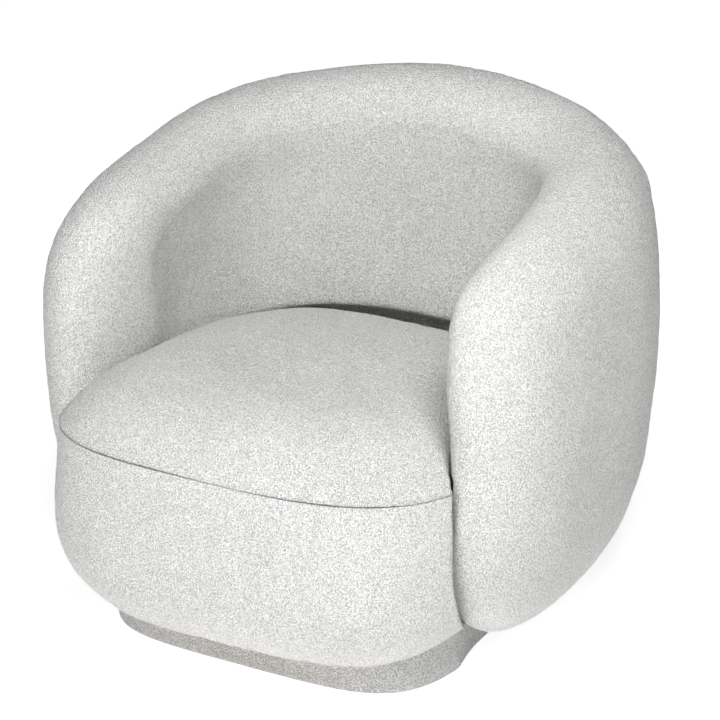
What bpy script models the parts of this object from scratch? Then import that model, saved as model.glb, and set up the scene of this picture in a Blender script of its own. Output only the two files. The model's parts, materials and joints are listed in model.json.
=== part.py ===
"""Upholstered tub armchair.

A thick padded wrap makes the back and both arms in one sweep. It stands round a drum
seat, and both are carried by a low upholstered plinth on glides.
Units are metres, +Z is up, the sitter faces -Y and the chair is symmetrical about X = 0.
"""
import math

import bmesh
import bpy
import numpy as np
from mathutils import Matrix, Vector

for old in list(bpy.data.objects):
    bpy.data.objects.remove(old, do_unlink=True)

# ---------------------------------------------------------------- driving dimensions
GAP = 0.0003                # clearance between touching pieces
COVER = 0.003               # thickness of the boucle cover with its backing

# Wrap: a sheet of padding bent round the seat. A place on it is (a, z), where a runs from
# 0 at the middle of the back to 1 at the front of an arm, and z is the height.
WRAP_RADIUS_X = 0.3535      # half width of the wrap's middle surface
WRAP_RADIUS_Y = 0.3610      # its reach to the rear
WRAP_SQUARENESS = 2.642     # exponent of its plan, 2 being an ellipse
WRAP_SWEEP = math.radians(128.0)  # angle from the middle of the back to an arm's front
WRAP_WAIST = 0.333          # height where the middle surface stands upright
WRAP_LEAN = (0.0587, 0.021)         # outward lean above the waist, at the back and arms
WRAP_BARREL = (0.356, 0.6226)       # how fast it curls in above and below the waist
ARM_TUCK = 0.0147           # how the arm fronts turn in towards the seat
WRAP_TOP = 0.702
WRAP_BOTTOM = 0.0335
WRAP_OUTLINE = [            # (a, z) of one half, from the top of the back round the arm
    (0.0, WRAP_TOP),
    (0.33, 0.6765),
    (0.64, 0.642),
    (0.967, 0.559),
    (1.0, 0.325),
    (0.982, 0.1355),
    (0.87, 0.0495),
    (0.4, WRAP_BOTTOM),
    (0.0, WRAP_BOTTOM),
]
INSIDE_PAD = (0.0941, 0.0696)       # padding inside the middle surface, back and arms
OUTSIDE_PAD = (0.0496, 0.0662)      # padding outside it
INSIDE_ROUND = (0.0727, 0.0888)     # edge rounding depth at the top and the bottom
OUTSIDE_ROUND = (0.0834, 0.1889)
FRONT_ROUND = 0.151         # edge rounding depth at the arm fronts
ROUND_SPAN = 0.303          # height over or under the waist where that gives way to the others
ARM_TUCK_START = 0.6        # a where the arm fronts begin to turn in

# Seat block, a drum under a crowned top
SEAT_CENTRE_Y = -0.1274
SEAT_HALF_WIDTH = 0.3175
SEAT_HALF_FRONT = 0.2771
SEAT_HALF_REAR = 0.4028
SEAT_SQUARENESS = (3.00, 2.77)  # exponents of the plan's front and rear
SEAM_HEIGHT = 0.3045
SEAM_RISE_FRONT = 0.0187
SEAM_DROP_REAR = 0.0023
CROWN_HEIGHT = 0.4003
CROWN_FALL = 0.0196         # how far the seat's top slopes down to the rear
CROWN_POWER = (5.17, 4.79, 4.22)  # fall of the crown to the front, sides and rear
DRUM_BULGE = 0.008
DRUM_ROUND = 0.1337         # radius that turns the drum in at its foot
DRUM_ROUND_BASE = 0.0327
FRONT_MARGIN = 0.014        # the squeeze of the arms goes on this far past their fronts
FRONT_OPENING = 3.5         # how fast the drum widens again past the arm fronts
SEAT_CLEARANCE = 0.009      # seat to wrap
SQUEEZE_POWER = 24          # how sharply the plan turns on to the wrap's face

# Plinth
PLINTH_CENTRE_Y = -0.0077
PLINTH_HALF_WIDTH = 0.2582
PLINTH_HALF_FRONT = 0.2775
PLINTH_HALF_REAR = 0.25
PLINTH_SQUARENESS = 4.66
PLINTH_TOP = 0.077
PLINTH_FOOT = 0.0058        # height of the glides
# Sections of (distance in from the plinth's outline, height): the cover's face going up,
# its lining coming down, and the padding behind it
PLINTH_FACE = [
    (0.0, PLINTH_FOOT + GAP),
    (-0.0015, 0.035),
    (0.0, 0.060),
    (0.008, 0.0725),
    (0.022, PLINTH_TOP),
]
PLINTH_LINING = [
    (0.022, PLINTH_TOP - COVER),
    (0.0105, 0.070),
    (COVER, 0.0585),
    (0.0015, 0.035),
    (COVER, PLINTH_FOOT + GAP),
]
PLINTH_PAD = [
    (COVER + GAP, 0.0072),
    (0.0018, 0.035),
    (COVER + GAP, 0.058),
    (0.0112, 0.069),
    (0.0225, 0.0732),
]
PLINTH_BOARD_INSET = 0.0252
PLINTH_PAD_INSET = 0.0245   # the padding's top edge, under the board
DUST_CLOTH_INSET = 0.004
DUST_CLOTH_THICK = 0.0008

DEPTH_CENTRE = 0.0003       # middle of the chair's depth, moved to Y = 0 at the end

# Timber, boards and steel
BOARD = 0.018
PLINTH_BOARD = 0.012
SEAT_BOARD_BASE = PLINTH_TOP + 0.0011
RAIL = 0.022
RAIL_HEIGHT = 0.12
FRAME_HALF_WIDTH = 0.205
FRAME_FRONT_Y = -0.33
FRAME_REAR_Y = 0.09
PLINTH_FRAME = (0.186, -0.215, 0.146)  # half width, front and rear of its rails
WRAP_FRAME_HALF = 0.018     # half thickness of the wrap's ribs and posts
WRAP_FRAME_REACH = 0.74     # share of the way from the spine to the outline
SLOT_ROOM = 0.003           # room round the frame in the foam
SLOT_REACH = (0.80, 0.86)   # where the slot for the frame ends in the foam
BOLT_RADIUS = 0.004
BOLT_CLEARANCE = 0.0005
HEAD_RADIUS = 0.0075
HEAD_HEIGHT = 0.0055
HOLE_EXTRA = 0.004          # how much deeper a hole is than its bolt
PLINTH_BOLT_X = 0.13
PLINTH_BOLT_Y = (-0.16, 0.05)  # front and rear
PLINTH_BOLT_END = 0.006     # how far a plinth bolt comes through its board
WRAP_BOLT_Z = 0.16
WRAP_BOLT_LENGTH = 0.145
GLIDE_RADIUS = 0.016
FRAME_ROOM = 0.001          # padding to rail

# Mesh density
SPINE_REACH = 0.72          # a of the outline rays' last centre
COLUMNS = 11
FAN = 7
FINE = (60, 40)             # columns and fan where the outline is only measured
OUTLINE_STEPS = 24          # between two of its given points
SEAT_SIDES = 32


# ---------------------------------------------------------------- materials
def material(name, colour, roughness, metallic=0.0):
    mat = bpy.data.materials.new(name)
    mat.use_nodes = True
    shader = mat.node_tree.nodes["Principled BSDF"]
    shader.inputs["Base Color"].default_value = (*colour, 1.0)
    shader.inputs["Roughness"].default_value = roughness
    shader.inputs["Metallic"].default_value = metallic
    return mat


BOUCLE = material("boucle", (0.80, 0.785, 0.76), 0.95)
FOAM = material("foam", (0.86, 0.80, 0.60), 0.9)
TIMBER = material("timber", (0.62, 0.45, 0.28), 0.6)
PLYWOOD = material("plywood", (0.70, 0.55, 0.37), 0.55)
SPRING_STEEL = material("spring_steel", (0.30, 0.31, 0.33), 0.35, 1.0)
ZINC = material("zinc", (0.62, 0.64, 0.66), 0.3, 1.0)
FELT = material("felt", (0.30, 0.29, 0.28), 0.95)
DUST_CLOTH = material("dust_cloth", (0.03, 0.03, 0.03), 0.9)
NYLON = material("nylon", (0.06, 0.06, 0.06), 0.45)


# ---------------------------------------------------------------- mesh helpers
SHARP_ANGLE = math.radians(35)


def add_mesh(name, verts, faces, mat):
    """One named object whose faces all point out."""
    mesh = bpy.data.meshes.new(name)
    mesh.from_pydata([tuple(map(float, v)) for v in verts], [], faces)
    bm = bmesh.new()
    bm.from_mesh(mesh)
    bmesh.ops.remove_doubles(bm, verts=bm.verts, dist=0.00001)
    bmesh.ops.dissolve_degenerate(bm, dist=0.000001, edges=bm.edges)
    bmesh.ops.recalc_face_normals(bm, faces=bm.faces)
    bm.to_mesh(mesh)
    bm.free()
    mesh.materials.append(mat)
    mesh.shade_smooth()
    mesh.set_sharp_from_angle(angle=SHARP_ANGLE)
    obj = bpy.data.objects.new(name, mesh)
    bpy.context.scene.collection.objects.link(obj)
    return obj


def loft(name, rings, mat, ends, turn=None):
    """Skin a row of closed rings with triangles.

    ends is "cap" for a face over each end, "join" to run the last ring into the first,
    or "weld" where each end ring is folded flat on a line, so its own edges meet.
    From the ring numbered turn the row runs back, and the diagonals swap, so that nested
    skins stay parallel.
    """
    count = len(rings[0])
    verts = [p for ring in rings for p in ring]
    faces = []
    spans = len(rings) if ends == "join" else len(rings) - 1
    for i in range(spans):
        low, high = i * count, (i + 1) % len(rings) * count
        for j in range(count):
            k = (j + 1) % count
            if turn is None or i < turn:
                faces.append((low + j, low + k, high + k))
                faces.append((low + j, high + k, high + j))
            else:
                faces.append((low + j, low + k, high + j))
                faces.append((low + k, high + k, high + j))
    if ends == "cap":
        faces.append(tuple(range(count)))
        faces.append(tuple(range((len(rings) - 1) * count, len(rings) * count)))
    return add_mesh(name, verts, faces, mat)


def lift(ring, z):
    """A flat ring of (x, y) at height z."""
    ring = np.asarray(ring)[:, :2]
    return np.column_stack([ring, np.broadcast_to(z, len(ring))])


def board(name, ring, low, high, mat):
    return loft(name, [lift(ring, low), lift(ring, high)], mat, "cap")


def box(name, low, high, mat):
    x0, y0, z0 = low
    x1, y1, z1 = high
    ring = [(x0, y0), (x1, y0), (x1, y1), (x0, y1)]
    obj = board(name, ring, z0, z1, mat)
    obj.data.shade_flat()
    return obj


def prism(name, profile, start, end, mat):
    """Extrude a profile of (y, z) along X."""
    rings = [[(x, y, z) for y, z in profile] for x in (start, end)]
    obj = loft(name, rings, mat, "cap")
    obj.data.shade_flat()
    return obj


def turned(name, steps, place, mat, sides=12):
    """A stack of (radius, height) discs about Z, then moved by the matrix place."""
    angles = np.linspace(0, 2 * math.pi, sides, endpoint=False)
    rings = []
    for radius, height in steps:
        ring = [place @ Vector((radius * math.cos(t), radius * math.sin(t), height)) for t in angles]
        rings.append([tuple(p) for p in ring])
    return loft(name, rings, mat, "cap")


def drill(objects, name, place, length):
    """Bolt holes: one hidden cutter taken from each object."""
    radius = BOLT_RADIUS + BOLT_CLEARANCE
    cutter = turned("cut_" + name, [(radius, 0.0), (radius, length)], place, ZINC)
    cutter.hide_render = True
    cutter.display_type = "WIRE"
    for obj in objects:
        cut = obj.modifiers.new(cutter.name, "BOOLEAN")
        cut.operation = "DIFFERENCE"
        cut.object = cutter


def superellipse(angle, power):
    """Unit superellipse at the given angles, as cosine-like and sine-like parts."""
    c, s = np.cos(angle), np.sin(angle)
    reach = (np.abs(c) ** power + np.abs(s) ** power) ** (-1.0 / power)
    return c * reach, s * reach


def closed_curve(points, steps):
    """Smooth closed curve through points of (a, z), by centripetal Catmull-Rom."""
    p = np.asarray(points, float)
    spans = np.linalg.norm((np.roll(p, -1, 0) - p) * (WRAP_LENGTH, 1.0), axis=1) ** 0.5
    t = np.linspace(0, 1, steps, endpoint=False)[:, None]
    pieces = []
    for i in range(len(p)):
        p0, p1, p2, p3 = (p[(i + k) % len(p)] for k in (-1, 0, 1, 2))
        t0, t1, t2 = (spans[(i + k) % len(p)] for k in (-1, 0, 1))
        m1 = p2 - p1 + t1 * ((p1 - p0) / t0 - (p2 - p0) / (t0 + t1))
        m2 = p2 - p1 + t1 * ((p3 - p2) / t2 - (p3 - p1) / (t1 + t2))
        cubic = 2 * (p1 - p2) + m1 + m2
        square = 3 * (p2 - p1) - 2 * m1 - m2
        pieces.append(cubic * t ** 3 + square * t ** 2 + m1 * t + p1)
    return np.concatenate(pieces)


# ---------------------------------------------------------------- the wrap's geometry
WRAP_LENGTH = WRAP_RADIUS_X * WRAP_SWEEP  # metres per unit of a
SPINE_Z = WRAP_WAIST


def half_outline():
    """Fine points of the outline's a >= 0 half, from the top to the bottom of the back."""
    mirrored = [(-a, z) for a, z in WRAP_OUTLINE[-2:0:-1]]
    curve = closed_curve(WRAP_OUTLINE + mirrored, OUTLINE_STEPS)
    return curve[:(len(WRAP_OUTLINE) - 1) * OUTLINE_STEPS + 1]


def outline_rays(columns, fan):
    """Rays from the spine to the outline: end point (a, z), start a, length and slope."""
    half = half_outline()
    tip = half[:, 0].argmax()
    upper, lower = half[:tip + 1], half[tip:][::-1]
    a = np.linspace(0, SPINE_REACH, columns)
    z_up = np.interp(a, upper[:, 0], upper[:, 1])
    z_low = np.interp(a, lower[:, 0], lower[:, 1])
    spokes = (half - (SPINE_REACH, SPINE_Z)) * (WRAP_LENGTH, 1.0)
    near = half[:, 0] >= SPINE_REACH - 0.02
    bearing = np.arctan2(spokes[near, 1], spokes[near, 0])
    reach = np.linalg.norm(spokes[near], axis=1)
    order = np.argsort(bearing)
    angle = np.linspace(math.pi / 2, -math.pi / 2, fan + 2)[1:-1]
    spoke = np.interp(angle, bearing[order], reach[order])
    fan_a = SPINE_REACH + spoke * np.cos(angle) / WRAP_LENGTH
    fan_z = SPINE_Z + spoke * np.sin(angle)
    ends = np.column_stack([np.r_[a, fan_a, a[::-1]], np.r_[z_up, fan_z, z_low[::-1]]])
    starts = np.r_[a, np.full(fan, SPINE_REACH), a[::-1]]
    flat = ends * (WRAP_LENGTH, 1.0)
    along = np.gradient(flat, axis=0)
    along /= np.linalg.norm(along, axis=1, keepdims=True)
    ray = flat - np.column_stack([starts * WRAP_LENGTH, np.full(len(starts), SPINE_Z)])
    length = np.linalg.norm(ray, axis=1)
    slope = np.abs(ray[:, 1] * along[:, 0] - ray[:, 0] * along[:, 1]) / length
    return ends, starts, length, slope


def back_to_arm(a):
    """0 at the middle of the back, 1 at the arm fronts."""
    return np.clip(np.abs(a), 0, 1) ** 1.5


def mix(pair, share):
    return pair[0] + (pair[1] - pair[0]) * share


def pad_height(a, depth, edge_z, inside, inset=0.0):
    """Padding over the middle surface, rounded down to nothing at the outline."""
    thick = mix(INSIDE_PAD if inside else OUTSIDE_PAD, back_to_arm(a)) - inset
    rounds = INSIDE_ROUND if inside else OUTSIDE_ROUND
    high = np.clip((edge_z - SPINE_Z) / ROUND_SPAN, -1, 1)
    edge = np.where(high > 0, rounds[0], rounds[1])
    spread = edge * np.abs(high) + FRONT_ROUND * (1 - np.abs(high)) - inset
    share = np.clip((depth - inset) / spread, 0, 1)
    return thick * np.sqrt(1 - (1 - share) ** 2)


def middle_shift(a, z):
    """How far the middle surface stands out from the plan at its waist."""
    share = back_to_arm(a)
    rise = z - WRAP_WAIST
    tuck = ARM_TUCK * np.clip(np.abs(a) - ARM_TUCK_START, 0, 1) ** 2
    return mix(WRAP_LEAN, share) * rise - mix(WRAP_BARREL, share) * rise ** 2 - tuck


def wrap_point(a, z, offset):
    """World place of (a, z) at an offset from the middle surface, positive outside."""
    c, s = superellipse(a * WRAP_SWEEP, WRAP_SQUARENESS)
    out = middle_shift(a, z) + offset
    return np.stack([(WRAP_RADIUS_X + out) * s, (WRAP_RADIUS_Y + out) * c, z + 0 * a], -1)


def wrap_ring(reach, height):
    """Closed ring at a share of every ray; height gives the offset for (a, depth, edge z)."""
    ends, starts, length, slope = outline_rays(COLUMNS, FAN)
    a = starts + (ends[:, 0] - starts) * reach
    z = SPINE_Z + (ends[:, 1] - SPINE_Z) * reach
    offset = height(a, (1 - reach) * length * slope, ends[:, 1])
    right = wrap_point(a, z, offset)
    left = right[::-1] * (-1, 1, 1)
    return np.concatenate([right[1:-1], left])


def inner_ratio(x, y, z, clearance):
    """Above 1 where (x, y, z) lies beyond the wrap's inside face.

    Past the arm fronts the limit opens outwards again, by FRONT_OPENING per metre.
    """
    a = np.abs(np.arctan2(x / WRAP_RADIUS_X, y / WRAP_RADIUS_Y)) / WRAP_SWEEP
    z = np.broadcast_to(z, a.shape)
    ends, starts, length, slope = outline_rays(*FINE)
    cols = slice(0, FINE[0])
    foot = slice(len(ends) - FINE[0], len(ends))
    up = z >= SPINE_Z
    edge_z = np.where(up, np.interp(a, starts[cols], ends[cols, 1]),
                      np.interp(a, starts[foot][::-1], ends[foot, 1][::-1]))
    steep = np.where(up, np.interp(a, starts[cols], slope[cols]),
                     np.interp(a, starts[foot][::-1], slope[foot][::-1]))
    column_depth = np.where(up, edge_z - z, z - edge_z) * steep
    fan = slice(FINE[0] - 1, len(ends) - FINE[0] + 1)
    spokes = (ends[fan] - (SPINE_REACH, SPINE_Z)) * (WRAP_LENGTH, 1.0)
    bearing = np.arctan2(spokes[:, 1], spokes[:, 0])[::-1]
    angle = np.arctan2(z - SPINE_Z, (a - SPINE_REACH) * WRAP_LENGTH)
    away = np.hypot((a - SPINE_REACH) * WRAP_LENGTH, z - SPINE_Z)
    fan_depth = (np.interp(angle, bearing, length[fan][::-1]) - away)
    fan_depth = fan_depth * np.interp(angle, bearing, slope[fan][::-1])
    in_columns = a <= SPINE_REACH
    depth = np.where(in_columns, column_depth, fan_depth)
    edge_z = np.where(in_columns, edge_z, np.interp(angle, bearing, ends[fan, 1][::-1]))
    pad = pad_height(a, np.maximum(depth, 0), edge_z, True)
    past = np.maximum(-depth - FRONT_MARGIN, 0)
    out = middle_shift(a, z) - pad - clearance + FRONT_OPENING * past
    ratio = (np.abs(x) / (WRAP_RADIUS_X + out)) ** WRAP_SQUARENESS
    ratio = ratio + (np.abs(y) / (WRAP_RADIUS_Y + out)) ** WRAP_SQUARENESS
    return ratio ** (1 / WRAP_SQUARENESS)


# ---------------------------------------------------------------- plan of the seat block
DRUM_LEVELS = [0.0, 0.1, 0.22, 0.4, 0.7, 1.0]
SEAT_ANGLE = np.linspace(0, 2 * math.pi, SEAT_SIDES, endpoint=False)
FRONTNESS = np.clip(-np.sin(SEAT_ANGLE), 0, 1)
REARNESS = np.clip(np.sin(SEAT_ANGLE), 0, 1)


def squeezed(x, y, z, clearance):
    """Pull plan points in to the wrap's inside face, with a soft changeover."""
    ratio = inner_ratio(x, y, z, clearance)
    keep = (1 + ratio ** SQUEEZE_POWER) ** (-1 / SQUEEZE_POWER)
    return np.column_stack([x * keep, y * keep])


def plan_ring(centre_y, half_width, half_front, half_rear, powers, grow, z, clearance):
    front = superellipse(SEAT_ANGLE, powers[0])
    rear = superellipse(SEAT_ANGLE, powers[1])
    is_front = np.sin(SEAT_ANGLE) < 0
    c = np.where(is_front, front[0], rear[0])
    s = np.where(is_front, front[1], rear[1])
    half = np.where(is_front, half_front, half_rear)
    return squeezed((half_width + grow) * c, centre_y + (half + grow) * s, z, clearance)


def inset_ring(ring, centre_y, inset, share=1.0):
    """Move a plan ring towards its centre by a distance, then scale it by a share."""
    arm = np.asarray(ring)[:, :2] - (0, centre_y)
    length = np.linalg.norm(arm, axis=1, keepdims=True)
    return (0, centre_y) + arm * (1 - inset / length) * share


def seam_z():
    """Height of the seam round the seat's top edge."""
    return SEAM_HEIGHT + SEAM_RISE_FRONT * FRONTNESS - SEAM_DROP_REAR * REARNESS


def crown_z(share):
    """Height of the seat's top at a share of the way out to the seam."""
    front, side, rear = CROWN_POWER
    power = side + (front - side) * FRONTNESS ** 2 + (rear - side) * REARNESS ** 2
    drop = (seam_z() - SEAM_HEIGHT) * share ** 2 - CROWN_FALL * REARNESS * share
    return SEAM_HEIGHT + (CROWN_HEIGHT - SEAM_HEIGHT) * (1 - share ** power) + drop


def drum_ring(level, inset=0.0):
    """Ring of the drum's wall; level is 0 at its foot and 1 at the seam."""
    foot = SEAT_BOARD_BASE
    z = foot + (seam_z() - foot) * level
    height = np.mean(z)
    grow = DRUM_BULGE * math.sin(math.pi * level)
    lift_left = height - DRUM_ROUND_BASE
    if lift_left < DRUM_ROUND:
        grow -= DRUM_ROUND - math.sqrt(DRUM_ROUND ** 2 - (DRUM_ROUND - lift_left) ** 2)
    ring = plan_ring(SEAT_CENTRE_Y, SEAT_HALF_WIDTH, SEAT_HALF_FRONT, SEAT_HALF_REAR,
                     SEAT_SQUARENESS, grow, height, SEAT_CLEARANCE)
    return lift(inset_ring(ring, SEAT_CENTRE_Y, inset), z)


def drum_wall(z, inset=0.0):
    """The faceted wall at a height between two of the drum's rings."""
    rings = [drum_ring(t, inset) for t in DRUM_LEVELS]
    heights = [ring[:, 2].mean() for ring in rings]
    upper = min(int(np.searchsorted(heights, z)), len(rings) - 1)
    share = (z - heights[upper - 1]) / (heights[upper] - heights[upper - 1])
    return lift(rings[upper - 1] + (rings[upper] - rings[upper - 1]) * share, z)


def tightest(rings):
    """At each angle the point nearest the seat's centre line."""
    stack = np.array([ring[:, :2] for ring in rings])
    away = np.linalg.norm(stack - (0, SEAT_CENTRE_Y), axis=2)
    return stack[away.argmin(axis=0), np.arange(stack.shape[1])]


def crown_ring(share, inset=0.0):
    """Ring of the seat's top, sunk below the surface by the inset."""
    rim = drum_ring(1.0)
    ring = inset_ring(rim, SEAT_CENTRE_Y, inset, share)
    return lift(ring, crown_z(share) - inset)


# ---------------------------------------------------------------- wrap: covers, foam, frame
REACHES = [0.0, 0.3, 0.55, 0.74, 0.86, 0.94, 0.985]
RIM_REACHES = [0.995, 1.0]
RIM_STEP = 0.991
SPLIT = GAP / 2
FOAM_ROOM = 0.0011          # room between the foam and its cover


def wrap_layers(side, inside):
    """The cover and the foam on one side of the wrap's middle surface."""
    sign = -1 if inside else 1

    def skin(inset):
        return lambda a, depth, edge_z: sign * np.maximum(
            pad_height(a, depth, edge_z, inside, inset), SPLIT)

    def flat(offset):
        return lambda a, depth, edge_z: sign * offset + 0 * a

    outer = [wrap_ring(r, skin(0.0)) for r in REACHES + RIM_REACHES]
    inner = [wrap_ring(r, skin(COVER)) for r in REACHES]
    step = [wrap_ring(RIM_STEP, flat(SPLIT))]
    cover = loft(side + "_cover", outer + step + inner[::-1], BOUCLE, "weld", len(outer))
    foam_skin = [wrap_ring(r, skin(COVER + FOAM_ROOM)) for r in REACHES]
    slot = WRAP_FRAME_HALF + SLOT_ROOM
    foam_slot = [wrap_ring(r, flat(SPLIT)) for r in (REACHES[-1], SLOT_REACH[1])]
    foam_slot += [wrap_ring(r, flat(slot)) for r in (SLOT_REACH[0], 0.55, 0.28, 0.0)]
    foam = loft(side + "_foam", foam_skin + foam_slot, FOAM, "weld", len(foam_skin))
    return cover, foam


def wrap_block(name, a_range, z_low, z_high, mat, steps):
    """A timber that follows the middle surface between two heights given for each a.

    steps is the number of spans along it and up it.
    """
    a = np.linspace(*a_range, steps[0] + 1)
    share = np.linspace(0, 1, steps[1] + 1)
    low, high = z_low(a), z_high(a)
    rings = []
    for i, place in enumerate(a):
        z = low[i] + (high[i] - low[i]) * share
        here = np.full(len(z), place)
        front = wrap_point(here, z, np.full(len(z), -WRAP_FRAME_HALF))
        rear = wrap_point(here, z, np.full(len(z), WRAP_FRAME_HALF))
        rings.append(np.concatenate([front, rear[::-1]]))
    obj = loft(name, rings, mat, "cap")
    obj.data.shade_flat()
    return obj


BASE_RIB_Z = 0.104
POST_HALF = 0.028           # half width of a post, in units of a
POSTS = {"rear": 0.16, "quarter": 0.40, "side": 0.645, "front": 0.77}
RIB_REACH = 0.805
POST_ROOM = 0.0012          # under the curved top rib


def arch_z(a):
    """Underside of the top rib: it follows the outline's top at the frame's reach."""
    ends, starts, _, _ = outline_rays(*FINE)
    crest = slice(0, sum(FINE))
    shrunk_a = starts + (ends[:, 0] - starts) * WRAP_FRAME_REACH
    shrunk_z = SPINE_Z + (ends[:, 1] - SPINE_Z) * WRAP_FRAME_REACH
    upper = shrunk_z[crest] > SPINE_Z
    return np.interp(np.abs(a), shrunk_a[crest][upper], shrunk_z[crest][upper]) - BOARD


def build_wrap():
    covers = {}
    for side, inside in (("inside_back", True), ("outside_back", False)):
        covers[side] = wrap_layers(side, inside)
    rib_top = BASE_RIB_Z + BOARD
    wrap_block("wrap_base_rib", (-RIB_REACH, RIB_REACH), lambda a: BASE_RIB_Z + 0 * a,
               lambda a: rib_top + 0 * a, PLYWOOD, (30, 1))
    wrap_block("wrap_top_rib", (-RIB_REACH, RIB_REACH), arch_z,
               lambda a: arch_z(a) + BOARD, PLYWOOD, (30, 1))
    posts = {}
    for label, a in POSTS.items():
        for hand, sign in (("left", 1), ("right", -1)):
            ends = sorted((sign * (a - POST_HALF), sign * (a + POST_HALF)))
            posts[label, hand] = wrap_block(
                "wrap_%s_post_%s" % (label, hand), ends, lambda t: rib_top + GAP + 0 * t,
                lambda t: arch_z(t) - POST_ROOM, TIMBER, (2, 5))
    return covers, posts


# ---------------------------------------------------------------- seat block
SEAT_SHARES = [0.06, 0.35, 0.6, 0.8, 0.93, 1.0]
CORNER_BLOCK_LEG = 0.055
CORNER_BLOCK_Z = (0.005, 0.045)  # bottom and top over the seat's board
SPRING_X = (-0.15, -0.05, 0.05, 0.15)
SPRING_Z = 0.006            # spring wire's height over the rails
SPRING_WIRE = 0.0018        # radius
SPRING_WAVES = 7
SPRING_HALF = 0.026
SPRING_ARCH = 0.016
CLIP_HALF = (0.008, 0.007)  # half width along the rail, and across it
CLIP_HEIGHT = 0.0115
CLIP_SHEET = 0.0012
PAD_BASE = SEAT_BOARD_BASE + BOARD + RAIL_HEIGHT + 0.031
PAD_THICK = 0.005
PAD_INSET = 0.002
LOOSE = 0.0022              # extra room between foam and curved covers


def build_seat_covers():
    lower = GAP * np.array([0, 0, 1])
    outer = [drum_ring(t) - lower for t in DRUM_LEVELS]
    inner = [drum_ring(t, COVER) - lower for t in DRUM_LEVELS]
    boxing = loft("seat_boxing_cover", outer + inner[::-1], BOUCLE, "join", len(outer))
    top = [crown_ring(s) for s in SEAT_SHARES]
    under = [crown_ring(s, COVER) for s in SEAT_SHARES[:-1]]
    rim = [drum_ring(1.0, COVER)]
    loft("seat_top_cover", top + rim + under[::-1], BOUCLE, "cap", len(top))
    return boxing


def frame_ring(half_x, front, rear, grow):
    """Rectangle round a frame, with a ring's usual number of points, four at its corners."""
    half_x = half_x + grow
    half_y = (rear - front) / 2 + grow
    c, s = np.cos(SEAT_ANGLE), np.sin(SEAT_ANGLE)
    c_size, s_size = np.maximum(np.abs(c), 1e-6), np.maximum(np.abs(s), 1e-6)
    reach = np.minimum(half_x / c_size, half_y / s_size)
    ring = np.column_stack([c * reach, s * reach])
    for sx in (-1, 1):
        for sy in (-1, 1):
            corner = np.array((sx * half_x, sy * half_y))
            nearest = np.linalg.norm(ring - corner, axis=1).argmin()
            ring[nearest] = corner
    return ring + (0, (rear + front) / 2)


def seat_frame_ring(grow):
    return frame_ring(FRAME_HALF_WIDTH, FRAME_FRONT_Y, FRAME_REAR_Y, grow)


def build_seat_frame():
    base = SEAT_BOARD_BASE
    plan = tightest([drum_ring(t, COVER + 3 * LOOSE) for t in DRUM_LEVELS[:2]])
    deck = board("seat_base_board", plan, base, base + BOARD, PLYWOOD)
    low = base + BOARD + GAP
    high = low + RAIL_HEIGHT
    x, front, rear = FRAME_HALF_WIDTH, FRAME_FRONT_Y, FRAME_REAR_Y
    box("seat_front_rail", (-x, front, low), (x, front + RAIL, high), TIMBER)
    box("seat_rear_rail", (-x, rear - RAIL, low), (x, rear, high), TIMBER)
    sides = {}
    for hand, sign in (("left", 1), ("right", -1)):
        edges = sorted((sign * x, sign * (x - RAIL)))
        sides[hand] = box("seat_side_rail_" + hand, (edges[0], front + RAIL + GAP, low),
                          (edges[1], rear - RAIL - GAP, high), TIMBER)
        build_corner_blocks(hand, sign, low)
    return deck, sides


def build_corner_blocks(hand, sign, low):
    """Glue blocks in the frame's inside corners."""
    leg = CORNER_BLOCK_LEG
    inside = RAIL + GAP
    x = FRAME_HALF_WIDTH - inside
    base, top = low + CORNER_BLOCK_Z[0], low + CORNER_BLOCK_Z[1]
    for end, y, way in (("front", FRAME_FRONT_Y + inside, 1), ("rear", FRAME_REAR_Y - inside, -1)):
        corner = [(sign * x, y), (sign * (x - leg), y), (sign * x, y + way * leg)]
        block = board("seat_corner_block_%s_%s" % (end, hand), corner, base, top, TIMBER)
        block.data.shade_flat()


def build_springs():
    """Zigzag springs from the front rail to the rear rail, in clips."""
    rail_top = SEAT_BOARD_BASE + BOARD + GAP + RAIL_HEIGHT
    start = FRAME_FRONT_Y + RAIL / 2
    end = FRAME_REAR_Y - RAIL / 2
    steps = SPRING_WAVES * 6
    for number, x in enumerate(SPRING_X, 1):
        curve = bpy.data.curves.new("seat_spring_%d" % number, "CURVE")
        curve.dimensions = "3D"
        curve.bevel_depth = SPRING_WIRE
        curve.bevel_resolution = 0
        curve.use_fill_caps = True
        wave = curve.splines.new("POLY")
        wave.points.add(steps + 2)
        path = [(x - SPRING_HALF, start, 0.0)]
        for i in range(steps + 1):
            t = i / steps
            turn = math.cos(2 * math.pi * SPRING_WAVES * t)
            arch = SPRING_ARCH * math.sin(math.pi * t)
            path.append((x + SPRING_HALF * turn, start + (end - start) * t, arch))
        path.append((x - SPRING_HALF, end, 0.0))
        for point, (px, py, pz) in zip(wave.points, path):
            point.co = (px, py, rail_top + SPRING_Z + pz, 1.0)
        curve.materials.append(SPRING_STEEL)
        spring = bpy.data.objects.new(curve.name, curve)
        bpy.context.scene.collection.objects.link(spring)
        build_clips(number, x, rail_top, start, end)


def build_clips(number, x, rail_top, start, end):
    """Sheet steel clips that are nailed on the rails and hook over the spring ends."""
    half, high, sheet = CLIP_HALF[1], CLIP_HEIGHT, CLIP_SHEET
    for place, y, way in (("front", start, 1), ("rear", end, -1)):
        profile = [(-half, 0), (half, 0), (half, sheet), (sheet - half, sheet),
                   (sheet - half, high - sheet), (half, high - sheet), (half, high), (-half, high)]
        shape = [(y + way * py, rail_top + GAP + pz) for py, pz in profile]
        name = "spring_clip_%s_%d" % (place, number)
        prism(name, shape, x - CLIP_HALF[0], x + CLIP_HALF[0], ZINC)


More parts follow.
